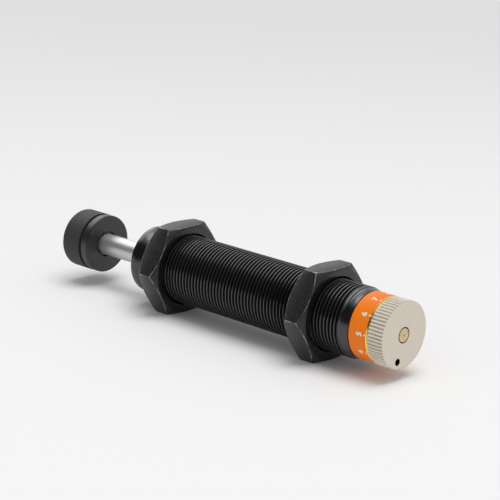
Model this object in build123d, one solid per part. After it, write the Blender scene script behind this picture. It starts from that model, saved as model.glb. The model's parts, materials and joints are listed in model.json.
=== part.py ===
from build123d import *
import math
import os

# Adjustable industrial shock absorber with a threaded body, built as it comes apart on a bench.
# X runs along the rod and +X points at the bumper. +Z is up and +Y is the side that shows the dial.
# The origin is the centre of the barrel's front face, where the rod comes out.
# Sizes are in millimetres. Angles are in degrees about +X, from +Y towards +Z.
# The rod stands fully out and the dial reads dial_reading.

# The tube's bore and the walls round it, which add up to the M25 x 1.5 thread on the outside
tube_bore = 14.0
tube_wall = 1.9
sleeve_wall = 0.94
barrel_wall = 2.5

# Barrel
thread_pitch = 1.5
thread_depth_ratio = 0.6134
thread_angle = 60.0
turns_per_groove = 2
barrel_length = 103.2
mouth_step = 0.5
land_step = 0.3
rear_chamfer_length = 1.7
rear_land_length = 2.4
front_land_length = 1.6
mouth_chamfer = 0.4

# Lock nuts
nut_wall = 3.5
nut_thickness = 9.0
nut_face_inset = 0.2
nut_chamfer_angle = 36.0
nut_countersink = 0.8
front_nut_setback = 9.5
rear_nut_setback = 14.7

# Fits: radial clearances, and the axial gap between faces that turn on each other
slip_fit = 0.03
running_fit = 0.05
sleeve_clearance = 0.08
face_gap = 0.05
seal_squeeze_gap = 0.02

# Stroke
stroke = 25.0
stroke_reserve = 0.3

# Rod
rod_diameter = 8.0
rod_shoulder = 1.5
rod_end_chamfer = 0.3

# Bumper on the rod's outer end
bumper_cap_diameter = 21.9
bumper_cap_length = 9.2
bumper_cap_round = 1.0
bumper_cap_wall = 2.35
bumper_flange_inset = 0.1
bumper_flange_thickness = 2.8
bumper_flange_chamfer = 0.3
bumper_groove_width = 1.3
bumper_groove_depth = 1.1
bumper_counterbore_gap = 0.9
bumper_counterbore_depth = 1.0
bumper_head_overhang = 1.75
bumper_head_thickness = 3.0
bumper_waist_length = 2.0
bumper_spigot_length = 5.0

# Parts that close the barrel's mouth
snap_ring_depth = 2.2
snap_ring_thickness = 1.2
snap_ring_groove_depth = 0.6
snap_ring_width = 1.9
snap_ring_opening = 44.0
snap_ring_lug_diameter = 2.8
snap_ring_eye_diameter = 1.3
cover_washer_thickness = 1.0
cover_washer_gap = 0.5
wiper_length = 2.8
wiper_lip_reach = 0.6
seal_length = 3.5
seal_width = 2.6
seal_notch_depth = 1.4
seal_lip_share = 0.2
gland_length = 20.2
gland_head_length = 7.6
gland_foot_length = 2.5
gland_neck_wall = 1.9
gland_shoulder_length = 3.1
bushing_wall = 1.5
gland_port_count = 4
gland_port_diameter = 1.6
foam_end_gap = 0.1

# Oil seal rings of square section with broken corners, as they sit squeezed
o_ring_section = 1.2
o_ring_groove_width = 1.8
o_ring_corner = 0.25

# Pressure tube
tube_flange_thickness = 4.0
tube_bottom_thickness = 3.0
tube_end_gap = 0.6
orifice_count = 5
orifice_diameter = 1.2
orifice_lead = 4.0
orifice_spacing_ratio = 0.72
orifice_angle = 90.0
return_groove_count = 4
return_groove_width = 2.4
return_groove_depth = 1.2

# Piston
piston_length = 6.5
piston_stop_gap = 0.1
piston_ring_width = 1.5
piston_ring_depth = 1.1
piston_port_count = 6
piston_port_diameter = 1.3
piston_boss_wall = 0.7
check_plate_rim_gap = 1.0
check_plate_thickness = 0.8
check_plate_lift = 0.4
spring_seat_rim_gap = 0.5
spring_seat_thickness = 1.0
piston_nut_gap = 0.33
piston_nut_thickness = 3.0
piston_nut_chamfer = 0.5

# Return spring
spring_wire_width = 1.1
spring_bore_gap = 0.95
spring_turns = 6.0
spring_end_gap = 0.02

# Rear plug and the scale ring on its collar
plug_spigot_length = 11.7
plug_collar_seat = 0.5
plug_groove_setback = 6.0
ring_length = 8.3
ring_inset = 0.75
ring_edge = 0.25

# Knob and adjuster
knob_inset = 0.7
knob_length = 5.9
knob_front_chamfer = 0.12
knurl_teeth = 60
knurl_depth = 0.42
knurl_crest_share = 0.3
knob_bore_chamfer = 0.2
knob_washer_thickness = 0.25
knob_washer_inset = 1.0
lock_screw_diameter = 2.5
lock_screw_length = 3.6
lock_screw_rim_gap = 2.6
lock_screw_socket = 1.3
lock_screw_socket_depth = 1.3
dial_sweep = 300.0
dial_divisions = 9
dial_reading = 2.7
dial_five_angle = 3.0
stem_diameter = 5.2
stem_end_chamfer = 0.15
stem_dimple_diameter = 0.9
stem_groove_setback = 7.0
stem_seal_section = 0.75

# Metering sleeve
sleeve_web_thickness = 4.0
sleeve_front_gap = 2.5
sleeve_washer_thickness = 0.3
sleeve_washer_width = 5.35
spiral_depth = 0.55
spiral_start_depth = 0.06
spiral_points = 13
spiral_margin = 2.0
outlet_width = 2.8
outlet_lead = 20.0
drive_pin_diameter = 1.5
drive_pin_length = 15.0

# How far a cutting tool runs past what it cuts
overrun = 1.0

# Radii from the tube's bore outwards to the thread
tube_bore_radius = tube_bore / 2
tube_radius = tube_bore_radius + tube_wall
sleeve_bore_radius = tube_radius + sleeve_clearance
sleeve_radius = sleeve_bore_radius + sleeve_wall
bore_radius = sleeve_radius + sleeve_clearance
front_bore_radius = bore_radius + mouth_step
barrel_radius = bore_radius + barrel_wall
thread_depth = thread_depth_ratio * thread_pitch
spring_inner_radius = tube_bore_radius - spring_bore_gap - spring_wire_width

# Radii from the rod outwards
rod_radius = rod_diameter / 2
spigot_radius = rod_radius - rod_shoulder
piston_boss_radius = spigot_radius + piston_boss_wall
bushing_radius = rod_radius + bushing_wall
gland_neck_radius = bushing_radius + gland_neck_wall
seal_pocket_radius = rod_radius + seal_width
throat_radius = rod_radius + cover_washer_gap

# Radii of the rear end, the nuts and the bumper
stem_radius = stem_diameter / 2
collar_radius = bore_radius + plug_collar_seat
ring_radius = barrel_radius - ring_inset
knob_radius = barrel_radius - knob_inset
lock_screw_offset = knob_radius - lock_screw_rim_gap
nut_half_width = barrel_radius + nut_wall
cap_radius = bumper_cap_diameter / 2
flange_radius = cap_radius - bumper_flange_inset
head_radius = cap_radius - bumper_cap_wall
waist_radius = head_radius - bumper_head_overhang

# Places along X from the mouth inwards
snap_front_x = -snap_ring_depth
snap_rear_x = snap_front_x - snap_ring_thickness
gland_front_x = snap_rear_x - cover_washer_thickness
gland_rear_x = gland_front_x - gland_length
shoulder_x = gland_rear_x - tube_flange_thickness
seal_front_x = gland_front_x - wiper_length
pocket_x = seal_front_x - seal_length
bushing_front_x = pocket_x - gland_shoulder_length
piston_front_x = gland_rear_x - piston_stop_gap
valve_face_x = piston_front_x - piston_length
seat_front_x = valve_face_x - check_plate_thickness - check_plate_lift
seat_rear_x = seat_front_x - spring_seat_thickness
piston_nut_rear_x = seat_rear_x - piston_nut_thickness

# Places along X from the rear end inwards
barrel_rear_x = -barrel_length
plug_inner_x = barrel_rear_x + plug_spigot_length
sleeve_rear_x = plug_inner_x + sleeve_washer_thickness + face_gap
web_front_x = sleeve_rear_x + sleeve_web_thickness
sleeve_front_x = shoulder_x - sleeve_front_gap
tube_rear_x = web_front_x + tube_end_gap
tube_floor_x = tube_rear_x + tube_bottom_thickness

# Places along X from the rear end outwards
collar_rear_x = barrel_rear_x - ring_length
knob_front_x = collar_rear_x - knob_washer_thickness - face_gap
knob_face_x = knob_front_x - knob_length

# Places along X of the bumper
bumper_rear_x = stroke + stroke_reserve
rod_end_x = bumper_rear_x + bumper_counterbore_depth
flange_front_x = bumper_rear_x + bumper_flange_thickness
cap_rear_x = flange_front_x + bumper_groove_width
cap_front_x = cap_rear_x + bumper_cap_length
waist_front_x = flange_front_x + bumper_waist_length
head_front_x = waist_front_x + bumper_head_thickness

# The dial: the lock screw's hole is the mark that is read against the ring's numbers
dial_step = dial_sweep / dial_divisions
index_angle = dial_five_angle + (dial_reading - 5) * dial_step
spiral_start_angle = orifice_angle - dial_sweep * (1 - dial_reading / dial_divisions)


def turned(*outline):
    """A solid turned about X from (x, radius) points."""
    return revolve(make_face(Polyline(*outline, close=True)), Axis.X)


def ring(start_x, end_x, inner_radius, outer_radius, outer_edge=0.0, inner_edge=0.0):
    """A ring about X, with its outer and inner edges broken by small chamfers."""
    outline = [(start_x, inner_radius + inner_edge), (start_x, outer_radius - outer_edge)]
    if outer_edge:
        outline += [(start_x + outer_edge, outer_radius), (end_x - outer_edge, outer_radius)]
    outline += [(end_x, outer_radius - outer_edge), (end_x, inner_radius + inner_edge)]
    if inner_edge:
        outline += [(end_x - inner_edge, inner_radius), (start_x + inner_edge, inner_radius)]
    return turned(*outline)


def round_bar(start_x, end_x, radius, off_axis=0.0, angle=0.0):
    """A bar along X, off the axis towards an angle."""
    turn = math.radians(angle)
    place = Pos((start_x + end_x) / 2, off_axis * math.cos(turn), off_axis * math.sin(turn))
    return place * Rot(0, 90, 0) * Cylinder(radius, end_x - start_x)


def radial_bar(x, angle, radius, inner_radius, outer_radius):
    """A bar that runs outwards from the axis, for drilled holes and cross pins."""
    height = outer_radius - inner_radius
    middle = (outer_radius + inner_radius) / 2
    return Pos(x, 0, 0) * Rot(angle - 90, 0, 0) * Pos(0, 0, middle) * Cylinder(radius, height)


def radial_slot(start_x, end_x, angle, width, inner_radius, outer_radius):
    """A box that runs outwards from the axis, for slots and grooves along X."""
    height = outer_radius - inner_radius
    middle = (outer_radius + inner_radius) / 2
    block = Pos((start_x + end_x) / 2, 0, middle) * Box(end_x - start_x, width, height)
    return Rot(angle - 90, 0, 0) * block


def hexagon(start_x, end_x, half_width):
    """A hexagonal prism along X with a flat at the top and at the bottom."""
    outline = RegularPolygon(half_width, 6, major_radius=False)
    return Pos(start_x, 0, 0) * extrude(Plane.YZ * outline, end_x - start_x)


def squeezed_o_ring(middle_x, inner_radius, section):
    """A seal ring in its groove, pressed flat against the groove's floor and the wall round it."""
    half = o_ring_section / 2
    inner = inner_radius + seal_squeeze_gap
    outer = inner_radius + section - seal_squeeze_gap
    return ring(middle_x - half, middle_x + half, inner, outer, o_ring_corner, o_ring_corner)


def thread_grooves(rear_limit_x):
    """Ring grooves that stand for the thread, one for every few turns, as outline points from the rear."""
    spacing = turns_per_groove * thread_pitch
    half_width = thread_depth * math.tan(math.radians(thread_angle / 2))
    root = barrel_radius - thread_depth
    points = []
    for number in reversed(range(math.floor((snap_rear_x - rear_limit_x) / spacing))):
        middle_x = snap_rear_x - spacing * (number + 0.5)
        points.append((middle_x - half_width, barrel_radius))
        points.append((middle_x, root))
        points.append((middle_x + half_width, barrel_radius))
    return points


def outer_barrel():
    """The threaded body, with a bevel and a plain land at each end of the thread."""
    land = barrel_radius - land_step
    root = barrel_radius - thread_depth
    end_chamfer = land - root
    thread_rear_x = barrel_rear_x + rear_chamfer_length + rear_land_length
    thread_front_x = -end_chamfer - front_land_length
    groove = front_bore_radius + snap_ring_groove_depth
    mouth = front_bore_radius + mouth_chamfer
    return turned(
        (barrel_rear_x, bore_radius),
        (barrel_rear_x, root),
        (barrel_rear_x + rear_chamfer_length, land),
        (thread_rear_x, land),
        (thread_rear_x + land_step, barrel_radius),
        *thread_grooves(thread_rear_x + land_step),
        (thread_front_x - land_step, barrel_radius),
        (thread_front_x, land),
        (-end_chamfer, land),
        (0, root),
        (0, mouth),
        (-mouth_chamfer, front_bore_radius),
        (snap_front_x, front_bore_radius),
        (snap_front_x, groove),
        (snap_rear_x, groove),
        (snap_rear_x, front_bore_radius),
        (shoulder_x, front_bore_radius),
        (shoulder_x, bore_radius),
    )


def lock_nut(front_x):
    """A hexagonal lock nut with chamfered corners and a countersunk bore."""
    rear_x = front_x - nut_thickness
    corner = nut_half_width / math.cos(math.radians(30))
    face = nut_half_width - nut_face_inset
    slope = (corner - face) * math.tan(math.radians(nut_chamfer_angle))
    bore = barrel_radius + slip_fit
    sink = bore + nut_countersink
    corners_off = turned(
        (rear_x, 0),
        (rear_x, face),
        (rear_x + slope, corner),
        (front_x - slope, corner),
        (front_x, face),
        (front_x, 0),
    )
    hole = turned(
        (rear_x, 0),
        (rear_x, sink),
        (rear_x + nut_countersink, bore),
        (front_x - nut_countersink, bore),
        (front_x, sink),
        (front_x, 0),
    )
    return (hexagon(rear_x, front_x, nut_half_width) & corners_off) - hole


def rear_plug():
    """The plug screwed into the barrel's rear end. Its collar carries the scale ring."""
    spigot = bore_radius - slip_fit
    floor = bore_radius - o_ring_section
    groove_x = plug_inner_x - plug_groove_setback
    half = o_ring_groove_width / 2
    bore = stem_radius + running_fit
    return turned(
        (collar_rear_x, bore),
        (collar_rear_x, collar_radius),
        (barrel_rear_x, collar_radius),
        (barrel_rear_x, spigot),
        (groove_x - half, spigot),
        (groove_x - half, floor),
        (groove_x + half, floor),
        (groove_x + half, spigot),
        (plug_inner_x - rod_end_chamfer, spigot),
        (plug_inner_x, spigot - rod_end_chamfer),
        (plug_inner_x, bore),
    )


def plug_o_ring():
    """The seal between the plug and the barrel."""
    return squeezed_o_ring(plug_inner_x - plug_groove_setback, bore_radius - o_ring_section, o_ring_section)


def scale_ring():
    """The ring that carries the dial's numbers, pressed on the plug's collar."""
    inner = collar_radius + slip_fit
    return ring(collar_rear_x, barrel_rear_x, inner, ring_radius, ring_edge)


def knob_washer():
    """The thin washer that the knob turns against."""
    rear_x = collar_rear_x - knob_washer_thickness
    return ring(rear_x, collar_rear_x, stem_radius + running_fit, barrel_radius - knob_washer_inset)


def knurled_rim():
    """The knob's rim: a prism of straight V grooves with narrow crests."""
    valley = knob_radius - knurl_depth
    pitch = 360 / knurl_teeth
    half_crest = pitch * knurl_crest_share / 2
    outline = []
    for tooth in range(knurl_teeth):
        middle = tooth * pitch
        spots = (
            (knob_radius, middle - half_crest),
            (knob_radius, middle + half_crest),
            (valley, middle + pitch / 2),
        )
        for radius, angle in spots:
            turn = math.radians(angle)
            outline.append((radius * math.cos(turn), radius * math.sin(turn)))
    rim = make_face(Polyline(*outline, close=True))
    return Pos(knob_face_x, 0, 0) * extrude(Plane.YZ * rim, knob_length)


def adjusting_knob():
    """The knurled knob, with a bore for the stem and a tapped hole for the lock screw."""
    bore = stem_radius + slip_fit
    blank = turned(
        (knob_face_x, bore + knob_bore_chamfer),
        (knob_face_x, knob_radius - knob_front_chamfer),
        (knob_face_x + knob_front_chamfer, knob_radius),
        (knob_front_x, knob_radius),
        (knob_front_x, bore),
        (knob_face_x + knob_bore_chamfer, bore),
    )
    tapped = round_bar(
        knob_face_x - overrun,
        knob_front_x + overrun,
        lock_screw_diameter / 2,
        lock_screw_offset,
        index_angle,
    )
    return (knurled_rim() & blank) - tapped


def knob_lock_screw():
    """The set screw sunk in the knob's face. It locks the setting and marks the reading."""
    front_x = knob_front_x
    rear_x = front_x - lock_screw_length
    turn = math.radians(index_angle)
    body = round_bar(rear_x, front_x, lock_screw_diameter / 2 - slip_fit, lock_screw_offset, index_angle)
    socket = hexagon(rear_x - overrun, rear_x + lock_screw_socket_depth, lock_screw_socket / 2)
    place = Pos(0, lock_screw_offset * math.cos(turn), lock_screw_offset * math.sin(turn))
    return body - place * socket


def adjuster_stem():
    """The stem that the knob turns. Its end is flush with the knob's face and has a centre dimple."""
    edge = stem_end_chamfer
    dimple = stem_dimple_diameter / 2
    floor = stem_radius - stem_seal_section
    groove_x = plug_inner_x - stem_groove_setback
    half = o_ring_groove_width / 2
    shaft = turned(
        (knob_face_x + dimple, 0),
        (knob_face_x, dimple),
        (knob_face_x, stem_radius - edge),
        (knob_face_x + edge, stem_radius),
        (groove_x - half, stem_radius),
        (groove_x - half, floor),
        (groove_x + half, floor),
        (groove_x + half, stem_radius),
        (web_front_x - edge, stem_radius),
        (web_front_x, stem_radius - edge),
        (web_front_x, 0),
    )
    return shaft - cross_hole(drive_pin_diameter / 2 + slip_fit, stem_radius + overrun)


def stem_o_ring():
    """The seal between the stem and the plug's bore."""
    floor = stem_radius - stem_seal_section
    return squeezed_o_ring(plug_inner_x - stem_groove_setback, floor, stem_seal_section)


def cross_hole(radius, reach):
    """A bar across the axis at the middle of the sleeve's web, on both sides of the stem."""
    middle_x = (sleeve_rear_x + web_front_x) / 2
    return radial_bar(middle_x, orifice_angle, radius, -reach, reach)


def sleeve_washer():
    """The washer between the plug and the turning sleeve."""
    front_x = plug_inner_x + sleeve_washer_thickness
    inner = stem_radius + running_fit
    return ring(plug_inner_x, front_x, inner, inner + sleeve_washer_width)


def orifice_places():
    """Places along X of the orifices. They crowd towards the end of the stroke, to brake evenly."""
    last_share = 1 - orifice_spacing_ratio ** (orifice_count - 1)
    spread = stroke - orifice_lead
    places = []
    for number in range(orifice_count):
        share = (1 - orifice_spacing_ratio ** number) / last_share
        places.append(valve_face_x - orifice_lead - spread * share)
    return places


def spiral_channel():
    """The channel inside the sleeve that deepens with the angle, so that turning it opens the orifices."""
    places = orifice_places()
    rear_x = places[-1] - spiral_margin
    front_x = places[0] + spiral_margin
    curve_points = []
    for step in range(spiral_points):
        share = step / (spiral_points - 1)
        turn = math.radians(spiral_start_angle + dial_sweep * share)
        depth = spiral_start_depth + (spiral_depth - spiral_start_depth) * share
        radius = sleeve_bore_radius + depth
        curve_points.append((radius * math.cos(turn), radius * math.sin(turn)))
    spiral = Spline(*curve_points)
    sides = Polyline(spiral @ 1, (0, 0), spiral @ 0)
    section = make_face(spiral + sides)
    return Pos(rear_x, 0, 0) * extrude(Plane.YZ * section, front_x - rear_x)


def metering_sleeve():
    """The cup that turns with the knob over the pressure tube, with its spiral channel and outlet slot."""
    bore = stem_radius + slip_fit
    cup = turned(
        (sleeve_rear_x, bore),
        (sleeve_rear_x, sleeve_radius),
        (sleeve_front_x, sleeve_radius),
        (sleeve_front_x, sleeve_bore_radius),
        (web_front_x, sleeve_bore_radius),
        (web_front_x, bore),
    )
    outlet = radial_slot(
        orifice_places()[-1] - spiral_margin,
        sleeve_front_x + overrun,
        spiral_start_angle + dial_sweep + outlet_lead / 2,
        outlet_width,
        stem_radius,
        sleeve_radius + overrun,
    )
    pin_hole = cross_hole(drive_pin_diameter / 2 + slip_fit, sleeve_radius + overrun)
    return cup - spiral_channel() - outlet - pin_hole


def drive_pin():
    """The pin across the web that turns the sleeve with the stem."""
    return cross_hole(drive_pin_diameter / 2, drive_pin_length / 2)


def pressure_tube():
    """The closed tube that the piston runs in, with its row of orifices and its return grooves."""
    flange = front_bore_radius - slip_fit
    body = turned(
        (tube_rear_x, 0),
        (tube_rear_x, tube_radius),
        (shoulder_x, tube_radius),
        (shoulder_x, flange),
        (gland_rear_x, flange),
        (gland_rear_x, tube_bore_radius),
        (tube_floor_x, tube_bore_radius),
        (tube_floor_x, 0),
    )
    for x in orifice_places():
        body -= radial_bar(x, orifice_angle, orifice_diameter / 2, 0, tube_radius + overrun)
    for number in range(return_groove_count):
        angle = number * 360 / return_groove_count
        body -= radial_slot(
            shoulder_x - overrun,
            gland_rear_x + overrun,
            angle,
            return_groove_width,
            flange - return_groove_depth,
            flange + overrun,
        )
        body -= radial_slot(
            gland_rear_x - return_groove_depth,
            gland_rear_x + overrun,
            angle,
            return_groove_width,
            0,
            flange + overrun,
        )
    return body


def return_spring():
    """The spring between the tube's floor and the spring seat, wound from square wire."""
    half = spring_wire_width / 2
    rear_x = tube_floor_x + half + spring_end_gap
    front_x = seat_rear_x - half - spring_end_gap
    length = front_x - rear_x
    centre_line = Helix(length / spring_turns, length, spring_inner_radius + half)
    across = Plane(origin=centre_line @ 0, x_dir=(1, 0, 0), z_dir=centre_line % 0)
    section = across * Rectangle(spring_wire_width, spring_wire_width)
    coil = sweep(section, path=centre_line, is_frenet=True)
    return Pos(rear_x, 0, 0) * Rot(0, 90, 0) * coil


def piston():
    """The piston, with a ring groove, return ports and a boss that the check plate slides on."""
    outer = tube_bore_radius - running_fit
    floor = outer - piston_ring_depth
    bore = spigot_radius + slip_fit
    half = piston_ring_width / 2
    groove_x = piston_front_x - piston_length / 2
    body = turned(
        (seat_front_x, bore),
        (seat_front_x, piston_boss_radius),
        (valve_face_x, piston_boss_radius),
        (valve_face_x, outer),
        (groove_x - half, outer),
        (groove_x - half, floor),
        (groove_x + half, floor),
        (groove_x + half, outer),
        (piston_front_x, outer),
        (piston_front_x, bore),
    )
    for number in range(piston_port_count):
        body -= round_bar(
            valve_face_x - overrun,
            piston_front_x + overrun,
            piston_port_diameter / 2,
            (piston_boss_radius + floor) / 2,
            number * 360 / piston_port_count,
        )
    return body


def piston_ring():
    """The slide ring in the piston's groove."""
    outer = tube_bore_radius - slip_fit
    inner = tube_bore_radius - running_fit - piston_ring_depth + seal_squeeze_gap
    middle_x = piston_front_x - piston_length / 2
    half = piston_ring_width / 2 - face_gap
    return ring(middle_x - half, middle_x + half, inner, outer)


def check_plate():
    """The loose plate that shuts the piston's ports on the way in and lifts off on the way out."""
    inner = piston_boss_radius + running_fit
    rear_x = valve_face_x - check_plate_thickness
    return ring(rear_x, valve_face_x, inner, tube_bore_radius - check_plate_rim_gap)


def spring_seat():
    """The flanged washer that the return spring pushes on, clamped by the piston nut."""
    outer = tube_bore_radius - spring_seat_rim_gap
    return ring(seat_rear_x, seat_front_x, spigot_radius + slip_fit, outer)


def piston_nut():
    """The nut that holds the piston on the rod. Its corners clear the spring round it."""
    corner = spring_inner_radius - piston_nut_gap
    body = hexagon(piston_nut_rear_x, seat_rear_x, corner * math.cos(math.radians(30)))
    corners_off = ring(
        piston_nut_rear_x,
        seat_rear_x,
        spigot_radius + slip_fit,
        corner,
        piston_nut_chamfer,
    )
    return body & corners_off


def piston_rod():
    """The hard chromed rod, with a spigot for the piston and one for the bumper."""
    edge = rod_end_chamfer
    inner_end_x = piston_nut_rear_x - rod_end_chamfer
    outer_end_x = rod_end_x + bumper_spigot_length
    return turned(
        (inner_end_x, 0),
        (inner_end_x, spigot_radius - edge),
        (inner_end_x + edge, spigot_radius),
        (piston_front_x, spigot_radius),
        (piston_front_x, rod_radius - edge),
        (piston_front_x + edge, rod_radius),
        (rod_end_x - edge, rod_radius),
        (rod_end_x, rod_radius - edge),
        (rod_end_x, spigot_radius),
        (outer_end_x - edge, spigot_radius),
        (outer_end_x, spigot_radius - edge),
        (outer_end_x, 0),
    )


def gland():
    """The housing that guides and seals the rod. Its neck leaves room for the foam."""
    outer = front_bore_radius - slip_fit
    rod_hole = rod_radius + sleeve_clearance
    head_rear_x = gland_front_x - gland_head_length
    foot_front_x = gland_rear_x + gland_foot_length
    floor = front_bore_radius - o_ring_section
    groove_x = gland_front_x - gland_head_length / 2
    half = o_ring_groove_width / 2
    body = turned(
        (gland_rear_x, bushing_radius),
        (gland_rear_x, outer),
        (foot_front_x, outer),
        (foot_front_x, gland_neck_radius),
        (head_rear_x, gland_neck_radius),
        (head_rear_x, outer),
        (groove_x - half, outer),
        (groove_x - half, floor),
        (groove_x + half, floor),
        (groove_x + half, outer),
        (gland_front_x, outer),
        (gland_front_x, seal_pocket_radius),
        (pocket_x, seal_pocket_radius),
        (pocket_x, rod_hole),
        (bushing_front_x, rod_hole),
        (bushing_front_x, bushing_radius),
    )
    for number in range(gland_port_count):
        body -= round_bar(
            gland_rear_x - overrun,
            foot_front_x + overrun,
            gland_port_diameter / 2,
            (gland_neck_radius + outer) / 2,
            number * 360 / gland_port_count,
        )
    return body


def gland_o_ring():
    """The seal between the gland and the barrel."""
    middle_x = gland_front_x - gland_head_length / 2
    return squeezed_o_ring(middle_x, front_bore_radius - o_ring_section, o_ring_section)


def rod_bushing():
    """The plain bearing that the rod slides in."""
    inner = rod_radius + running_fit
    return ring(gland_rear_x, bushing_front_x, inner, bushing_radius - slip_fit)


def rod_seal():
    """The lip seal that holds the oil back, with its notch towards the pressure."""
    inner = rod_radius + slip_fit
    outer = seal_pocket_radius - slip_fit
    middle = (inner + outer) / 2
    lip = (outer - inner) * seal_lip_share
    return turned(
        (pocket_x, inner + lip / 2),
        (pocket_x, inner + lip),
        (pocket_x + seal_notch_depth, middle),
        (pocket_x, outer - lip),
        (pocket_x, outer),
        (seal_front_x, outer),
        (seal_front_x, inner + lip / 2),
        (pocket_x + seal_notch_depth, inner + lip / 2),
        (pocket_x + lip / 2, inner),
    )


def rod_wiper():
    """The ring that wipes the rod clean. Its lip reaches out through the cover washer."""
    inner = rod_radius + slip_fit
    outer = seal_pocket_radius - slip_fit
    throat = throat_radius - slip_fit
    lip_x = gland_front_x + cover_washer_thickness + wiper_lip_reach
    return turned(
        (seal_front_x, inner + wiper_lip_reach),
        (seal_front_x, outer),
        (gland_front_x, outer),
        (gland_front_x, throat),
        (lip_x - wiper_lip_reach, throat),
        (lip_x, inner),
        (lip_x - wiper_lip_reach, inner),
    )


def accumulator_foam():
    """The foam sleeve round the gland's neck, which gives way to the oil that the rod displaces."""
    rear_x = gland_rear_x + gland_foot_length + foam_end_gap
    front_x = gland_front_x - gland_head_length - foam_end_gap
    inner = gland_neck_radius + foam_end_gap
    return ring(rear_x, front_x, inner, front_bore_radius - foam_end_gap)


def cover_washer():
    """The washer that keeps the wiper in its pocket."""
    return ring(gland_front_x, snap_rear_x, throat_radius, front_bore_radius - slip_fit)


def snap_ring():
    """The sprung ring in the barrel's groove, open at the bottom, with an eye at each end."""
    outer = front_bore_radius + snap_ring_groove_depth - slip_fit
    inner = outer - snap_ring_width
    lug = snap_ring_lug_diameter / 2
    eye = snap_ring_eye_diameter / 2
    lug_circle = inner
    gap_side = snap_ring_opening / 2
    thickness = snap_ring_thickness - face_gap
    reach = outer + 2 * overrun
    corner_y = reach * math.sin(math.radians(gap_side))
    corner_z = reach * math.cos(math.radians(gap_side))
    gap = make_face(Polyline((0, 0), (-corner_y, -corner_z), (corner_y, -corner_z), close=True))
    outline = Circle(outer) - Circle(inner) - gap
    for side in (-1, 1):
        turn = math.radians(270 + side * (gap_side + math.degrees(lug / lug_circle)))
        spot = Pos(lug_circle * math.cos(turn), lug_circle * math.sin(turn))
        outline += spot * Circle(lug)
        outline -= spot * Circle(eye)
    return Pos(snap_rear_x, 0, 0) * extrude(Plane.YZ * outline, thickness)


def bumper_core():
    """The steel mushroom on the rod's end: a flange behind, and a head that the cap is moulded over."""
    edge = bumper_flange_chamfer
    bore = spigot_radius + slip_fit
    recess = rod_radius + bumper_counterbore_gap
    bore_end_x = rod_end_x + bumper_spigot_length + slip_fit
    return turned(
        (bumper_rear_x, recess),
        (bumper_rear_x, flange_radius - edge),
        (bumper_rear_x + edge, flange_radius),
        (flange_front_x, flange_radius),
        (flange_front_x, waist_radius),
        (waist_front_x, waist_radius),
        (waist_front_x, head_radius),
        (head_front_x, head_radius),
        (head_front_x, 0),
        (bore_end_x, 0),
        (bore_end_x, bore),
        (rod_end_x, bore),
        (rod_end_x, recess),
    )


def bumper_cap():
    """The urethane cap moulded over the core's head, with a rounded nose."""
    outer = cap_radius
    neck = cap_radius - bumper_groove_depth
    waist = waist_radius + seal_squeeze_gap
    head = head_radius + seal_squeeze_gap
    waist_x = waist_front_x - seal_squeeze_gap
    head_x = head_front_x + seal_squeeze_gap
    nose = bumper_cap_round
    outline = Polyline(
        (head_x, 0),
        (head_x, head),
        (waist_x, head),
        (waist_x, waist),
        (flange_front_x, waist),
        (flange_front_x, neck),
        (cap_rear_x, neck),
        (cap_rear_x, outer),
        (cap_front_x - nose, outer),
    )
    rounded = RadiusArc((cap_front_x - nose, outer), (cap_front_x, outer - nose), nose)
    front = Polyline(
        (cap_front_x, outer - nose),
        (cap_front_x, 0),
        (head_x, 0),
    )
    return revolve(make_face(outline + rounded + front), Axis.X)


def front_lock_nut():
    """The lock nut nearer the bumper."""
    return lock_nut(-front_nut_setback)


def rear_lock_nut():
    """The lock nut nearer the knob."""
    return lock_nut(barrel_rear_x + rear_nut_setback + nut_thickness)


pieces = [
    outer_barrel,
    front_lock_nut,
    rear_lock_nut,
    rear_plug,
    plug_o_ring,
    scale_ring,
    knob_washer,
    adjusting_knob,
    knob_lock_screw,
    adjuster_stem,
    stem_o_ring,
    sleeve_washer,
    metering_sleeve,
    drive_pin,
    pressure_tube,
    return_spring,
    piston,
    piston_ring,
    check_plate,
    spring_seat,
    piston_nut,
    piston_rod,
    gland,
    gland_o_ring,
    rod_bushing,
    rod_seal,
    rod_wiper,
    accumulator_foam,
    cover_washer,
    snap_ring,
    bumper_core,
    bumper_cap,
]

os.makedirs("parts", exist_ok=True)
for piece in pieces:
    export_step(piece(), f"parts/{piece.__name__}.step")
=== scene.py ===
import json
import math
import bmesh
import bpy
from mathutils import Matrix, Vector


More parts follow.
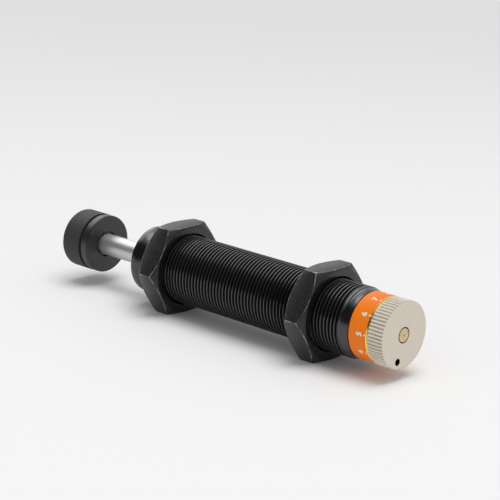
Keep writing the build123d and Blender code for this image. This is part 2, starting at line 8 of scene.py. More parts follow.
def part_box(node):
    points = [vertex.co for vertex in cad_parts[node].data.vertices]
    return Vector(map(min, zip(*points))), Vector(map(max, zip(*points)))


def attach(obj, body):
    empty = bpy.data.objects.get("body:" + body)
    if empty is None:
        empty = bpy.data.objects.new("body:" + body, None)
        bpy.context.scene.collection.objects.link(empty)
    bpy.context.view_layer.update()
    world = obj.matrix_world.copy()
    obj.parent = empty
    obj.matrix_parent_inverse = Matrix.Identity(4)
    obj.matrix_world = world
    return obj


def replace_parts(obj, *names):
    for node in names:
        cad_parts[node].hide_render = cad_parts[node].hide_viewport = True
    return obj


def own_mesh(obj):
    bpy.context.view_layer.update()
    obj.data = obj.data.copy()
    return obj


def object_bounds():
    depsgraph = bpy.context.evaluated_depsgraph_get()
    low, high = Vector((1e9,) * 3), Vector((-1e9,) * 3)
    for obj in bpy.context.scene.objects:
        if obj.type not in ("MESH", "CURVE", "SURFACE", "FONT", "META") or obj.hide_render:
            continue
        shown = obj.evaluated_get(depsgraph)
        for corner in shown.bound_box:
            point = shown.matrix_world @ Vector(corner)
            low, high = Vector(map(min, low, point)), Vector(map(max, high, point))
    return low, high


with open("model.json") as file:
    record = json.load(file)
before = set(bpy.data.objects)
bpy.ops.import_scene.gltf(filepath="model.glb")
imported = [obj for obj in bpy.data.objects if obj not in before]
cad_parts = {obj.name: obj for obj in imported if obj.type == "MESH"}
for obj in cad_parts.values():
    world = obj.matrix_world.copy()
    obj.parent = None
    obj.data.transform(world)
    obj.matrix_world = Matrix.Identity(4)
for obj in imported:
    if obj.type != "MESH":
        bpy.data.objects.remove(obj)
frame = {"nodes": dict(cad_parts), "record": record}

# The looks of a threaded industrial shock absorber, in the CAD frame.
# Lengths are in millimetres where no comment says otherwise, and MM turns them into metres.
# Angles round the part are in degrees about +X, from +Y towards +Z.
MM = 0.001
cad_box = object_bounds()

# Camera, fitted to the outlines in the photograph. It sees as far as camera_reach, in metres.
camera_place = (-460.5, 453.2, 186.9)
camera_yaw = -47.69
camera_pitch = -15.78
camera_roll = 2.24
camera_lens = 130.7
camera_sensor = 36.0
camera_reach = 20.0

# Edges sharper than these angles stay crisp, and the rest is shaded smooth
plain_crisp_angle = 35.0
nut_crisp_angle = 30.0
ring_crisp_angle = 50.0

# Barrel and thread. At its ends the thread fades from its full depth to a small share of it.
thread_pitch = 1.5
thread_depth = 0.92
thread_fade_turns = 0.35
thread_end_share = 0.1
thread_start_angle = 210.0
barrel_segments = 120
land_step = 0.3
rear_chamfer_length = 1.7
rear_land_length = 0.9
front_land_length = 1.6
barrel_wall = 2.5
mouth_step = 0.5
mouth_depth = 28.6
mouth_chamfer = 0.4
snap_groove_start = 2.2
snap_groove_end = 3.4
snap_groove_depth = 0.6

# Shape of the thread: a share of the pitch, and the depth there in thread depths
thread_shape = (
    (-0.15, 0.16),
    (-0.08, 0.0),
    (0.08, 0.0),
    (0.15, 0.16),
    (0.38, 0.93),
    (0.45, 1.0),
    (0.55, 1.0),
    (0.62, 0.93),
)
points_per_turn = len(thread_shape)
first_share = thread_shape[0][0]
last_share = thread_shape[-1][0]

# The strips after these points of the shape are the thread's crest, and the others its groove
# The groove's darker, duller finish is painted shade in the thread's hollows
crest_strips = (0, 1, 2)

# Lock nuts
nut_sides = 6
nut_bore_gap = 0.03
nut_countersink = 0.8
nut_face_inset = 0.2
nut_chamfer_angle = 36.0
nut_corner_round = 0.45
nut_edge_width = 0.18
nut_corner_steps = 4
nut_flat_steps = 12

# Dial: the ring, and the numbers and lines printed on it
ring_bore_gap = 0.92
ring_edge = 0.6
ring_rear_round = 0.08
ring_front_round = 0.2
ring_round_steps = 2
ring_segments = 120
dial_numbers_count = 10
dial_step = 300.0 / 9
dial_five_angle = 3.0
digit_height = 2.25
digit_start = 2.25
tick_start = 0.3
tick_length = 1.2
tick_width = 0.36
tick_steps = 3
print_thickness = 0.06

# Digits as the font gives them, in its own unit
digit_weight = 0.036
digit_curve_steps = 4
digit_merge_distance = 0.0005
digit_longest_edge = 0.15

# Knob: its straight grooves with painted shade in their bottoms, and dark lines of painted shade in its face
knurl_teeth = 60
knurl_depth = 0.42
knurl_line_width = 0.56
knurl_line_depth = 0.25
knurl_line_bed = 0.03
stem_line_width = 0.4
stem_line_depth = 0.1
stem_line_segments = 64
bore_skin = 0.1
bore_clearance = 0.025
bore_segments = 40

# Return spring
spring_turns = 6
spring_wire = 1.1
spring_steps_per_turn = 36

# Noise of the finishes: its detail, and the part of its range that changes the gloss
cloud_detail = 4.0
grain_detail = 3.0
gloss_range = (0.3, 0.7)

# Floor. Its tone falls off along the view between near and far, which are in metres like its reach.
floor_reach = 4.0
floor_near = -0.16
floor_far = 0.8
floor_near_tone = 0.95
# The far tone is painted shade, where a backdrop would get less light
floor_far_shade_tone = 0.76
floor_roughness = 0.9
floor_specular = 0.1

# Overhead light: its strength, its width as an angle, and its tilt about X and Y in degrees
lamp_energy = 1.5
lamp_width = 44.0
lamp_tilt = (1.4, -7.8)

# The room that shows in glossy surfaces: pale walls, a dimmer one towards -X, a soft box of light, and
# darkness on +Y from the horizon to near the top. Each range is where, in a part of a unit direction, the
# change starts and stops.
wall_tone = 0.85
dim_wall_tone = 0.35
dim_wall_range = (-0.65, -0.35)
dark_tone = 0.02
dark_side_range = (0.15, 0.45)
dark_bottom_range = (0.0, 0.08)
dark_top_range = (0.8, 0.92)
light_box_tone = (2.35, 2.35, 2.45)
light_box_way = (0.67, -0.22, 0.71)
light_box_range = (0.84, 0.95)

# The even light that the room gives to dull surfaces, and the background that the camera sees
even_tone = 0.5
background_tone = 0.9


def node_range(node):
    """The lowest and highest x of a CAD node and its radius, in millimetres."""
    low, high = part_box(node)
    return low.x / MM, high.x / MM, high.y / MM


def half_height(node):
    """Half of the height of a CAD node, in millimetres."""
    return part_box(node)[1].z / MM


def on_circle(x, radius, angle):
    """A point at a radius and an angle about the X axis."""
    turn = math.radians(angle)
    return (x, radius * math.cos(turn), radius * math.sin(turn))


def add_row(points, row):
    """Adds a row of points, and gives their numbers."""
    first = len(points)
    points.extend(row)
    return range(first, len(points))


def band_faces(first, second):
    """Quads between two closed rows of point numbers."""
    count = len(first)
    return [(first[i], first[(i + 1) % count], second[(i + 1) % count], second[i]) for i in range(count)]


def tube_faces(rows):
    """Quads between each closed row of point numbers and the next."""
    faces = []
    for first, second in zip(rows, rows[1:]):
        faces += band_faces(first, second)
    return faces


def bar_faces(rows):
    """A tube of quads with a face at each end."""
    return tube_faces(rows) + [tuple(rows[0]), tuple(rows[-1])]


def piece_of(name, body, points, faces, materials, marks=None, crisp_angle=plain_crisp_angle):
    """A mesh piece from points in millimetres, riding on a body. marks gives each face's material."""
    mesh = bpy.data.meshes.new(name)
    mesh.from_pydata([Vector(point) * MM for point in points], [], faces)
    for material in materials:
        mesh.materials.append(material)
    if marks:
        mesh.polygons.foreach_set("material_index", marks)
    work = bmesh.new()
    work.from_mesh(mesh)
    bmesh.ops.recalc_face_normals(work, faces=work.faces)
    work.to_mesh(mesh)
    work.free()
    mesh.shade_smooth()
    mesh.set_sharp_from_angle(angle=math.radians(crisp_angle))
    piece = bpy.data.objects.new(name, mesh)
    bpy.context.scene.collection.objects.link(piece)
    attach(piece, body)
    return piece


def rounded(outline, corners, steps):
    """An (x, radius) outline with some corners rounded. corners maps a point's number to its radius."""
    result = []
    for number, point in enumerate(outline):
        if number not in corners:
            result.append(point)
            continue
        here = Vector(point)
        before = (Vector(outline[number - 1]) - here).normalized()
        after = (Vector(outline[(number + 1) % len(outline)]) - here).normalized()
        half = before.angle(after) / 2
        radius = corners[number]
        centre = here + (before + after).normalized() * radius / math.sin(half)
        start = here + before * radius / math.tan(half) - centre
        end = here + after * radius / math.tan(half) - centre
        for step in range(steps + 1):
            result.append(tuple(centre + start.slerp(end, step / steps) * radius))
    return result


def lathed(name, body, outline, materials, segments, marks=None, crisp_angle=plain_crisp_angle,
           centre=(0, 0)):
    """A closed ring turned about a line along X, at centre in Y and Z, from an (x, radius) outline.

    marks gives the material of the band that follows each point of the outline.
    """
    points = []
    rows = []
    place = Vector((0, *centre))
    for x, radius in outline:
        circle = [place + Vector(on_circle(x, radius, 360 * i / segments)) for i in range(segments)]
        rows.append(add_row(points, circle))
    faces = tube_faces(rows + rows[:1])
    band_marks = marks or [0] * len(rows)
    face_marks = [mark for mark in band_marks for _ in range(segments)]
    return piece_of(name, body, points, faces, materials, face_marks, crisp_angle)


# Materials
class Nodes:
    """A short way to add and join shader nodes."""

    def __init__(self, tree):
        self.tree = tree

    def add(self, kind, **values):
        """A new node with the given settings."""
        node = self.tree.nodes.new(kind)
        for key, value in values.items():
            setattr(node, key, value)
        return node

    def join(self, source, target):
        """A link from an output to an input."""
        self.tree.links.new(source, target)

    def noise(self, scale, detail, stretch):
        """Noise over the object's own coordinates, with the scale in cells per millimetre."""
        place = self.add("ShaderNodeTexCoord")
        mapping = self.add("ShaderNodeMapping")
        mapping.inputs["Scale"].default_value = stretch
        texture = self.add("ShaderNodeTexNoise")
        texture.inputs["Scale"].default_value = scale / MM
        texture.inputs["Detail"].default_value = detail
        self.join(place.outputs["Object"], mapping.inputs["Vector"])
        self.join(mapping.outputs["Vector"], texture.inputs["Vector"])
        return texture.outputs["Fac"]

    def ranged(self, value, low, high, start, end):
        """A value moved smoothly from start..end to low..high."""
        node = self.add("ShaderNodeMapRange", interpolation_type="SMOOTHSTEP")
        node.inputs["From Min"].default_value = start
        node.inputs["From Max"].default_value = end
        node.inputs["To Min"].default_value = low
        node.inputs["To Max"].default_value = high
        self.join(value, node.inputs["Value"])
        return node.outputs["Result"]

    def mixed(self, share, first, second):
        """A colour between two others. Each is a fixed colour or the output of a node."""
        node = self.add("ShaderNodeMix", data_type="RGBA")
        self.join(share, node.inputs["Factor"])
        for name, color in (("A", first), ("B", second)):
            if isinstance(color, tuple):
                node.inputs[name].default_value = (*color, 1)
            else:
                self.join(color, node.inputs[name])
        return node.outputs["Result"]

    def combined(self, operation, first, second):
        """A number worked out from two others."""
        node = self.add("ShaderNodeMath", operation=operation)
        self.join(first, node.inputs[0])
        self.join(second, node.inputs[1])
        return node.outputs["Value"]

    def along(self, place, way):
        """How far a place lies along a fixed direction."""
        node = self.add("ShaderNodeVectorMath", operation="DOT_PRODUCT")
        self.join(place, node.inputs[0])
        node.inputs[1].default_value = way
        return node.outputs["Value"]

    def bump(self, height, depth):
        """A bump whose full height is depth millimetres."""
        node = self.add("ShaderNodeBump")
        node.inputs["Distance"].default_value = depth * MM
        self.join(height, node.inputs["Height"])
        return node.outputs["Normal"]


def grey(tone):
    """A colour without hue."""
    return (tone, tone, tone)


def shade(color, change):
    """A colour made lighter or darker by a share."""
    return tuple(min(1.0, part * (1 + change)) for part in color)


def new_material(name, specular):
    """A new material, its nodes and its shader."""
    material = bpy.data.materials.new(name)
    material.use_nodes = True
    shader = material.node_tree.nodes["Principled BSDF"]
    shader.inputs["Specular IOR Level"].default_value = specular
    return material, Nodes(material.node_tree), shader


def finish(name, color, roughness, metallic=0.0, grain=1.5, depth=0.01, blotch=0.12, cloud=0.12,
           spread=0.06, stretch=(1, 1, 1), specular=0.5, second=None, patches=(0.45, 0.7)):
    """A surface with clouded colour, uneven gloss and a fine grain.

    grain and cloud are in cells per millimetre. depth is the grain's height in millimetres. blotch and
    spread are the changes of colour and of roughness. second is a colour that shows in patches, and it
    takes the place of the blotch.
    """
    material, nodes, shader = new_material(name, specular)
    shader.inputs["Metallic"].default_value = metallic
    clouds = nodes.noise(cloud, cloud_detail, stretch)
    if second:
        tone = nodes.mixed(nodes.ranged(clouds, 0, 1, *patches), color, second)
    else:
        tone = nodes.mixed(clouds, shade(color, -blotch), shade(color, blotch))
    fine = nodes.noise(grain, grain_detail, stretch)
    gloss = nodes.ranged(fine, roughness - spread, roughness + spread, *gloss_range)
    nodes.join(tone, shader.inputs["Base Color"])
    nodes.join(gloss, shader.inputs["Roughness"])
    nodes.join(nodes.bump(fine, depth), shader.inputs["Normal"])
    return material


finishes = {
    "barrel_black": finish("barrel_black_oxide", (0.0065, 0.0067, 0.0078), 0.22, grain=2.5, depth=0.0015,
                           specular=0.85),
    "nut_black": finish("nut_black_oxide", (0.012, 0.012, 0.013), 0.38, grain=2.4, depth=0.02, cloud=1.7,
                        spread=0.12, stretch=(2.6, 0.7, 0.7), specular=0.4,
                        second=(0.034, 0.034, 0.035), patches=(0.42, 0.7)),
    "rod_chrome": finish("rod_chrome", (0.63, 0.63, 0.635), 0.4, 0.75, grain=3.0, depth=0.0006, blotch=0.02,
                         spread=0.03, stretch=(6, 1, 1)),
    "knob_nickel": finish("knob_nickel", (0.77, 0.69, 0.59), 0.58, 0.12, grain=4.0, depth=0.006, blotch=0.03,
                          cloud=0.3, specular=0.3),
    "ring_orange": finish("ring_orange_paint", (0.93, 0.215, 0.008), 0.38, grain=2.0, depth=0.003,
                          blotch=0.05, specular=0.16),
    "brass": finish("turned_brass", (0.68, 0.55, 0.3), 0.34, 1.0, grain=2.5, depth=0.003, cloud=0.9,
                    stretch=(1, 1, 1.6), second=(0.4, 0.31, 0.17), patches=(0.5, 0.72)),
    "bumper_black": finish("bumper_black_coat", (0.016, 0.016, 0.018), 0.32, grain=2.0, depth=0.001,
                           specular=0.55),
    "urethane_grey": finish("urethane_grey", (0.034, 0.035, 0.035), 0.62, grain=1.2, depth=0.02, blotch=0.08,
                            specular=0.35),
    "steel": finish("turned_steel", (0.5, 0.5, 0.52), 0.32, 1.0, grain=2.0, depth=0.002, stretch=(5, 1, 1)),
    "spring_steel": finish("spring_steel", (0.3, 0.3, 0.32), 0.35, 1.0, grain=2.0, depth=0.003),
    "bronze": finish("sintered_bronze", (0.55, 0.36, 0.17), 0.5, 1.0, grain=4.0, depth=0.01),
    "nitrile": finish("nitrile_rubber", (0.014, 0.014, 0.014), 0.55, grain=2.0, depth=0.008),
    "white_plastic": finish("filled_fluoroplastic", (0.8, 0.78, 0.73), 0.45, grain=1.5, depth=0.004),
    "foam": finish("closed_cell_foam", (0.07, 0.07, 0.075), 0.85, grain=3.0, depth=0.06),
}
# Painted shade: the thread's grooves get a darker, duller copy of the barrel's finish
painted_groove_shade = finish("painted_groove_shade_black", (0.0022, 0.0022, 0.0025), 0.5, grain=2.5, depth=0.003,
                       specular=0.12)
worn_edge = finish("worn_nut_edge", (0.05, 0.05, 0.052), 0.4, 0.3, grain=2.5, depth=0.01, cloud=0.5,
                   second=(0.28, 0.28, 0.28), patches=(0.38, 0.64))
nut_face = finish("nut_face_black", (0.007, 0.007, 0.0078), 0.27, grain=1.8, depth=0.005, blotch=0.2,
                  specular=0.55)
# Painted shade for the bottoms of the knob's grooves, with a clouded tone
knurl_groove_shade = finish("knurl_groove_shade", (0.37, 0.335, 0.275), 0.6, grain=3.0, depth=0.003, cloud=0.6, blotch=0.5,
                    specular=0.3)
# Near-black painted shade for the hole over the lock screw, the screw at its bottom and the groove round the
# stem
painted_recess_shade = finish("painted_recess_shade_black", (0.004, 0.0035, 0.003), 0.7, grain=2.0, depth=0.003, specular=0.1)
bare_edge = finish("bare_ring_edge", (0.95, 0.72, 0.26), 0.2, 1.0, grain=2.0, depth=0.002)
print_white = finish("printed_white", (0.86, 0.80, 0.70), 0.5, grain=3.0, depth=0.002, blotch=0.08, cloud=0.8)


def dress_cad_nodes():
    """Gives every CAD node the finish of its slot, and gives the lock screw the near-black painted shade of
    its hole.
    """
    for part in frame["record"]["subparts"]:
        node = frame["nodes"][part["node"]]
        for slot in node.material_slots:
            slot.material = finishes[part["material_slot"]]
    # The lock screw sits at the bottom of its hole, so it gets the hole's painted shade
    for slot in frame["nodes"]["knob_lock_screw"].material_slots:
        slot.material = painted_recess_shade


# Pieces
def barrel_angle(station):
    """The angle of a station round the barrel. The thread starts at station 0."""
    return thread_start_angle + 360 * station / barrel_segments


def barrel_outline(rear, front, crest, thread_rear, thread_front):
    """The barrel's (x, radius) outline from the thread's rear end through the bore to its front end."""
    land = crest - land_step
    root = crest - thread_depth
    bore = crest - barrel_wall
    mouth_bore = bore + mouth_step
    groove_bore = mouth_bore + snap_groove_depth
    return (
        (thread_rear, crest),
        (thread_rear - land_step, land),
        (rear + rear_chamfer_length, land),
        (rear, root),
        (rear, bore),
        (front - mouth_depth, bore),
        (front - mouth_depth, mouth_bore),
        (front - snap_groove_end, mouth_bore),
        (front - snap_groove_end, groove_bore),
        (front - snap_groove_start, groove_bore),
        (front - snap_groove_start, mouth_bore),
        (front - mouth_chamfer, mouth_bore),
        (front, mouth_bore + mouth_chamfer),
        (front, root),
        (front - (land - root), land),
        (thread_front + land_step, land),
        (thread_front, crest),
    )


def thread_rows(points, start, turns, crest):
    """Adds the thread's points, and gives their numbers in a row along the barrel for each station.

    Station 0 has one turn more, which the last station joins.
    """
    rows = []
    for station in range(barrel_segments):
        row_turns = turns + 1 if station == 0 else turns
        row = []
        for number in range(row_turns * points_per_turn):
            share, depth = thread_shape[number % points_per_turn]
            turn = number // points_per_turn + share + station / barrel_segments
            from_end = min(turn - first_share, max(0.0, turns + last_share + 1 - turn))
            fade = min(1.0, thread_end_share + from_end / thread_fade_turns)
            radius = crest - depth * fade * thread_depth
            row.append(on_circle(start + turn * thread_pitch, radius, barrel_angle(station)))
        rows.append(add_row(points, row))
    return rows


def thread_faces(rows):
    """Quads along the thread, and a mark for each: 0 on its crest and 1 in its groove."""
    faces = []
    marks = []
    for row, following in zip(rows, rows[1:] + [rows[0][points_per_turn:]]):
        for k in range(len(rows[1]) - 1):
            faces.append((row[k], following[k], following[k + 1], row[k + 1]))
            marks.append(0 if k % points_per_turn in crest_strips else 1)
    return faces, marks


def thread_end_faces(rows, rings):
    """Quads from both ends of the thread to the rings beside them, and the steps where its turns close."""
    count = len(rows[1])
    first_row = rows[0]
    rear_edge = [row[0] for row in rows] + [first_row[points_per_turn]]
    front_edge = [row[count - 1] for row in rows] + [first_row[-1]]
    faces = []
    for edge, ring in ((rear_edge, rings[0]), (front_edge, rings[-1])):
        for i in range(barrel_segments):
            faces.append((ring[i], ring[(i + 1) % barrel_segments], edge[i + 1], edge[i]))
    faces.append((rings[0][0], *first_row[: points_per_turn + 1]))
    faces.append((rings[-1][0], *reversed(first_row[count - 1 :])))
    return faces


def threaded_barrel():
    """The barrel with its cut thread, its lands, its mouth and its bore."""
    rear, front, crest = node_range("outer_barrel")
    thread_rear = rear + rear_chamfer_length + rear_land_length + land_step
    thread_front = front - (thread_depth - land_step) - front_land_length - land_step
    start = thread_rear - first_share * thread_pitch
    turns = math.floor((thread_front - start) / thread_pitch - last_share) - 1
    points = []
    rows = thread_rows(points, start, turns, crest)
    rings = []
    for x, radius in barrel_outline(rear, front, crest, thread_rear, thread_front):
        ring = [on_circle(x, radius, barrel_angle(station)) for station in range(barrel_segments)]
        rings.append(add_row(points, ring))
    faces, marks = thread_faces(rows)
    faces += tube_faces(rings) + thread_end_faces(rows, rings)
    marks += [0] * (len(faces) - len(marks))
    materials = [finishes["barrel_black"], painted_groove_shade]
    piece = piece_of("threaded_barrel", "barrel", points, faces, materials, marks)
    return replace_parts(piece, "outer_barrel")


def nut_stations(half_width):
    """Angles and radii round a hexagon with rounded corners, and whether each step is a corner."""
    stations = []
    side_angle = 360 / nut_sides
    half_angle = side_angle / 2
    corner_reach = (half_width - nut_corner_round) / math.cos(math.radians(half_angle))
    for side in range(nut_sides):
        corner = side * side_angle
        for step in range(nut_corner_steps + 1):
            turn = math.radians(side_angle * step / nut_corner_steps - half_angle)
            y = corner_reach + nut_corner_round * math.cos(turn)
            z = nut_corner_round * math.sin(turn)
            worn = step < nut_corner_steps
            stations.append((corner + math.degrees(math.atan2(z, y)), math.hypot(y, z), worn))
        edge = stations[-1][0] - corner
        for step in range(1, nut_flat_steps):
            angle = edge + (side_angle - 2 * edge) * step / nut_flat_steps
            reach = half_width / math.cos(math.radians(angle - half_angle))
            stations.append((corner + angle, reach, False))
    return stations


def nut_profile(reach, low, high, half_width, bore):
    """Points along x at one angle of a nut, from the bore's one end round the outside to its other end."""
    face = half_width - nut_face_inset
    slope = math.radians(nut_chamfer_angle)
    drop = (reach - face) * math.tan(slope)
    along = nut_edge_width * math.cos(slope)
    down = nut_edge_width * math.sin(slope)
    half = (
        (nut_countersink, bore),
        (0.0, bore + nut_countersink),
        (0.0, face - nut_edge_width),
        (down, face + along),
        (drop - down, reach - along),
        (drop + nut_edge_width, reach),
    )
    rear = [(low + depth, radius) for depth, radius in half]
    front = [(high - depth, radius) for depth, radius in reversed(half)]
    return rear + front


def lock_nut(node, body):
    """A lock nut with chamfered and lightly worn edges."""
    low, high, _ = node_range(node)
    half_width = half_height(node)
    bore = node_range("outer_barrel")[2] + nut_bore_gap
    stations = nut_stations(half_width)
    points = []
    rows = []
    for angle, reach, _ in stations:
        profile = nut_profile(reach, low, high, half_width, bore)
        rows.append(add_row(points, [on_circle(x, radius, angle) for x, radius in profile]))
    materials = [finishes["nut_black"], worn_edge, nut_face]
    side_mark, worn_mark, face_mark = range(len(materials))
    outside = len(rows[0]) // 2 - 1
    band_marks = [face_mark] * len(rows[0])
    for band in (outside - 2, outside, outside + 2):
        band_marks[band] = side_mark
    for band in (outside - 1, outside + 1):
        band_marks[band] = worn_mark
    faces = []
    marks = []
    for number, row in enumerate(rows):
        faces += band_faces(row, rows[(number + 1) % len(rows)])
        first_mark = len(marks)
        marks += band_marks
        if stations[number][2]:
            marks[first_mark + outside] = worn_mark
    piece = piece_of(node + "_look", body, points, faces, materials, marks, nut_crisp_angle)
    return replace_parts(piece, node)


def orange_ring():
    """The painted scale ring, with a bare turned edge beside the knob."""
    rear, front, outer = node_range("scale_ring")
    inner = outer - ring_bore_gap
    outline = (
        (rear, inner),
        (rear, outer - ring_edge),
        (rear + ring_edge, outer),
        (front - ring_edge, outer),
        (front, outer - ring_edge),
        (front, inner),
    )
    shape = rounded(outline, {2: ring_rear_round, 3: ring_front_round}, ring_round_steps)
    # The rear end and its chamfer are bare
    bare_bands = 2
    marks = [1] * bare_bands + [0] * (len(shape) - bare_bands)
    materials = [finishes["ring_orange"], bare_edge]
    piece = lathed("orange_ring", "barrel", shape, materials, ring_segments, marks,
                   ring_crisp_angle)
    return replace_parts(piece, "scale_ring")


def knurl_lines():
    """Painted shade: dark strips laid in the bottoms of the knob's straight grooves."""
    face, front, _ = node_range("adjusting_knob")
    valley = half_height("adjusting_knob") - knurl_depth
    half = math.degrees(knurl_line_width / 2 / valley)
    points = []
    faces = []
    for tooth in range(knurl_teeth):
        middle = 360 * (tooth + 0.5) / knurl_teeth
        rows = []
        for x in (face, front):
            section = (
                on_circle(x, valley - knurl_line_bed, middle),
                on_circle(x, valley + knurl_line_depth, middle + half),
                on_circle(x, valley + knurl_line_depth, middle - half),
            )
            rows.append(add_row(points, section))
        faces += bar_faces(rows)
    return piece_of("knurl_lines", "adjuster", points, faces, [knurl_groove_shade])


def stem_line():
    """A dark ring laid in the groove between the stem and the knob: painted shade in the groove."""
    face = node_range("adjusting_knob")[0]
    outer = node_range("adjuster_stem")[2] + stem_line_width / 2
    inner = outer - stem_line_width
    back = face + stem_line_depth
    outline = ((face, inner), (face, outer), (back, outer), (back, inner))
    return lathed("stem_line", "adjuster", outline, [painted_recess_shade], stem_line_segments)


def lock_screw_bore():
    """A near-black tube on the wall of the hole over the lock screw: painted shade in the hole."""
    low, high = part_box("knob_lock_screw")
    centre = ((low.y + high.y) / 2 / MM, (low.z + high.z) / 2 / MM)
    outer = (high.y - low.y) / 2 / MM + bore_clearance
    inner = outer - bore_skin
    face = node_range("adjusting_knob")[0]
    screw = low.x / MM
    outline = ((face, inner), (face, outer), (screw, outer), (screw, inner))
    return lathed("lock_screw_bore", "adjuster", outline, [painted_recess_shade], bore_segments,
                  centre=centre)


def dial_angle(number):
    """The angle of one of the dial's numbers."""
    return dial_five_angle + (number - 5) * dial_step


def wrapped(x_start, radius, angle, point):
    """A flat point (across, up, out) wrapped round the ring, with its top towards the barrel."""
    across, up, out = point
    return on_circle(x_start + up, radius + out, angle + math.degrees(across / radius))


def from_lowest(face):
    """The same face, counted from its lowest point number."""
    first = face.index(min(face))
    return tuple(face[first:] + face[:first])


def flat_digit(text):
    """Points, in millimetres, and faces of one thin solid digit, centred, with its foot at zero.

    Blender's own order of points and faces changes from run to run, so both are sorted.
    """
    curve = bpy.data.curves.new("digit_" + text, "FONT")
    curve.body = text
    curve.resolution_u = digit_curve_steps
    curve.offset = digit_weight
    holder = bpy.data.objects.new("digit_" + text, curve)
    bpy.context.scene.collection.objects.link(holder)
    bpy.context.view_layer.update()
    source = holder.to_mesh()
    work = bmesh.new()
    work.from_mesh(source)
    bmesh.ops.remove_doubles(work, verts=work.verts, dist=digit_merge_distance)
    long_edges = [edge for edge in work.edges if edge.calc_length() > digit_longest_edge]
    bmesh.ops.subdivide_edges(work, edges=long_edges, cuts=1)
    lows = [min(v.co[axis] for v in work.verts) for axis in (0, 1)]
    highs = [max(v.co[axis] for v in work.verts) for axis in (0, 1)]
    scale = digit_height / (highs[1] - lows[1])
    middle = (lows[0] + highs[0]) / 2
    extruded = bmesh.ops.extrude_face_region(work, geom=work.faces[:])
    raised = {v for v in extruded["geom"] if isinstance(v, bmesh.types.BMVert)}
    bmesh.ops.triangulate(work, faces=work.faces)
    order = sorted(work.verts, key=lambda vert: (vert.co.x, vert.co.y, vert in raised))
    places = {vert: number for number, vert in enumerate(order)}
    half = print_thickness / 2
    points = []
    for vert in order:
        out = half if vert in raised else -half
        points.append(((vert.co.x - middle) * scale, (vert.co.y - lows[1]) * scale, out))
    faces = sorted(from_lowest([places[vert] for vert in face.verts]) for face in work.faces)
    work.free()
    holder.to_mesh_clear()
    bpy.data.objects.remove(holder)
    bpy.data.curves.remove(curve)
    return points, faces


def dial_numbers():
    """The numbers 0 to 9 printed round the ring."""
    rear, _, radius = node_range("scale_ring")
    points = []
    faces = []
    for number in range(dial_numbers_count):
        flat, triangles = flat_digit(str(number))
        placed = [wrapped(rear + digit_start, radius, dial_angle(number), point) for point in flat]
        row = add_row(points, placed)
        faces += [tuple(row[i] for i in triangle) for triangle in triangles]
    return piece_of("dial_numbers", "barrel", points, faces, [print_white])


def dial_ticks():
    """A short line beside each number."""
    rear, _, radius = node_range("scale_ring")
    half = print_thickness / 2
    corners = ((0, -half), (tick_length, -half), (tick_length, half), (0, half))
    points = []
    faces = []
    for number in range(dial_numbers_count):
        rows = []
        for step in range(tick_steps + 1):
            across = tick_width * (step / tick_steps - 0.5)
            section = [
                wrapped(rear + tick_start, radius, dial_angle(number), (across, up, out))
                for up, out in corners
            ]
            rows.append(add_row(points, section))
        faces += bar_faces(rows)
    return piece_of("dial_ticks", "barrel", points, faces, [print_white])


def return_spring():
    """The spring of square wire inside the tube."""
    rear, front, outer = node_range("return_spring")
    half = spring_wire / 2
    middle = outer - half
    length = front - rear - spring_wire
    corners = ((-half, -half), (half, -half), (half, half), (-half, half))
    steps = spring_turns * spring_steps_per_turn
    points = []
    rows = []
    for step in range(steps + 1):
        share = step / steps
        x = rear + half + length * share
        angle = 360 * spring_turns * share
        rows.append(add_row(points, [on_circle(x + along, middle + out, angle) for along, out in corners]))
    piece = piece_of("spring_coil", "barrel", points, bar_faces(rows), [finishes["spring_steel"]])
    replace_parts(piece, "return_spring")
    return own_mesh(piece)


# Stage
def floor():
    """A pale floor under the nuts. Its tone falls off slowly behind the object, as in the photograph."""
    reach = floor_reach
    level = cad_box[0][2]
    corners = ((-reach, -reach, level), (reach, -reach, level), (reach, reach, level), (-reach, reach, level))
    mesh = bpy.data.meshes.new("floor")
    mesh.from_pydata(corners, [], [(0, 1, 2, 3)])
    material, nodes, shader = new_material("pale_floor", floor_specular)
    shader.inputs["Roughness"].default_value = floor_roughness
    place = nodes.add("ShaderNodeTexCoord")
    yaw = math.radians(camera_yaw)
    away = nodes.along(place.outputs["Object"], (math.cos(yaw), math.sin(yaw), 0))
    # Darker far along the view: painted shade, where a backdrop would get less light
    distance = nodes.ranged(away, 0, 1, floor_near, floor_far)
    tone = nodes.mixed(distance, grey(floor_near_tone), grey(floor_far_shade_tone))
    nodes.join(tone, shader.inputs["Base Color"])
    mesh.materials.append(material)
    plane = bpy.data.objects.new("floor", mesh)
    bpy.context.scene.collection.objects.link(plane)


def overhead_light():
    """A wide soft light from above."""
    lamp = bpy.data.lights.new("overhead", "SUN")
    lamp.energy = lamp_energy
    lamp.angle = math.radians(lamp_width)
    light = bpy.data.objects.new("overhead", lamp)
    tilt_x, tilt_y = lamp_tilt
    light.rotation_euler = (math.radians(tilt_x), math.radians(tilt_y), 0)
    bpy.context.scene.collection.objects.link(light)


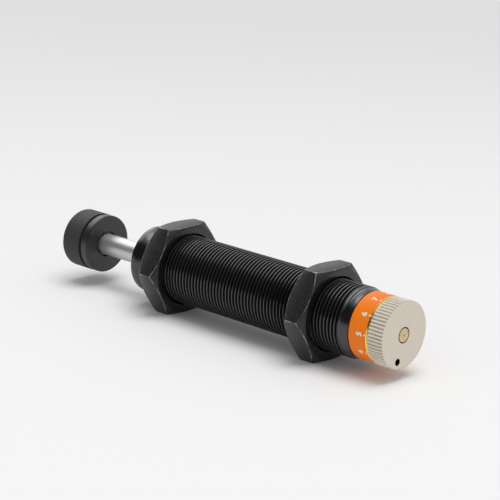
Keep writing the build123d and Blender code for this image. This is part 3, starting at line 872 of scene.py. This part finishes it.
def room_tone(nodes):
    """The colour of the room in each direction, as glossy surfaces show it."""
    place = nodes.add("ShaderNodeTexCoord").outputs["Generated"]
    split = nodes.add("ShaderNodeSeparateXYZ")
    nodes.join(place, split.inputs["Vector"])
    side = nodes.ranged(split.outputs["Y"], 0, 1, *dark_side_range)
    above = nodes.ranged(split.outputs["Z"], 0, 1, *dark_bottom_range)
    below = nodes.ranged(split.outputs["Z"], 1, 0, *dark_top_range)
    dark = nodes.combined("MULTIPLY", nodes.combined("MULTIPLY", side, above), below)
    dim = nodes.ranged(split.outputs["X"], 1, 0, *dim_wall_range)
    walls = nodes.mixed(dim, grey(wall_tone), grey(dim_wall_tone))
    box = nodes.ranged(nodes.along(place, light_box_way), 0, 1, *light_box_range)
    return nodes.mixed(dark, nodes.mixed(box, walls, light_box_tone), grey(dark_tone))


def studio():
    """A white studio. Its room shows in glossy surfaces, and camera and glass see a plain background."""
    world = bpy.data.worlds.new("studio")
    world.use_nodes = True
    bpy.context.scene.world = world
    nodes = Nodes(world.node_tree)
    rays = nodes.add("ShaderNodeLightPath").outputs
    lighting = nodes.mixed(rays["Is Glossy Ray"], grey(even_tone), room_tone(nodes))
    seen = nodes.combined("MAXIMUM", rays["Is Camera Ray"], rays["Is Transmission Ray"])
    shown = nodes.mixed(seen, lighting, grey(background_tone))
    nodes.join(shown, world.node_tree.nodes["Background"].inputs["Color"])


def camera():
    """The camera at the photograph's viewing angle."""
    yaw = math.radians(camera_yaw)
    pitch = math.radians(camera_pitch)
    roll = math.radians(camera_roll)
    ahead = Vector((math.cos(yaw) * math.cos(pitch), math.sin(yaw) * math.cos(pitch), math.sin(pitch)))
    right = ahead.cross(Vector((0, 0, 1))).normalized()
    up = right.cross(ahead)
    turned_right = math.cos(roll) * right + math.sin(roll) * up
    turned_up = math.cos(roll) * up - math.sin(roll) * right
    view = bpy.data.cameras.new("camera")
    view.lens = camera_lens
    view.sensor_width = camera_sensor
    view.clip_end = camera_reach
    holder = bpy.data.objects.new("camera", view)
    turn = Matrix((turned_right, turned_up, -ahead)).transposed().to_4x4()
    holder.matrix_world = Matrix.Translation(Vector(camera_place) * MM) @ turn
    bpy.context.scene.collection.objects.link(holder)
    bpy.context.scene.camera = holder


dress_cad_nodes()
threaded_barrel()
lock_nut("front_lock_nut", "front_nut")
lock_nut("rear_lock_nut", "rear_nut")
orange_ring()
knurl_lines()
stem_line()
lock_screw_bore()
dial_numbers()
dial_ticks()
return_spring()
floor()
overhead_light()
studio()
camera()
bpy.context.scene.view_settings.view_transform = "Standard"
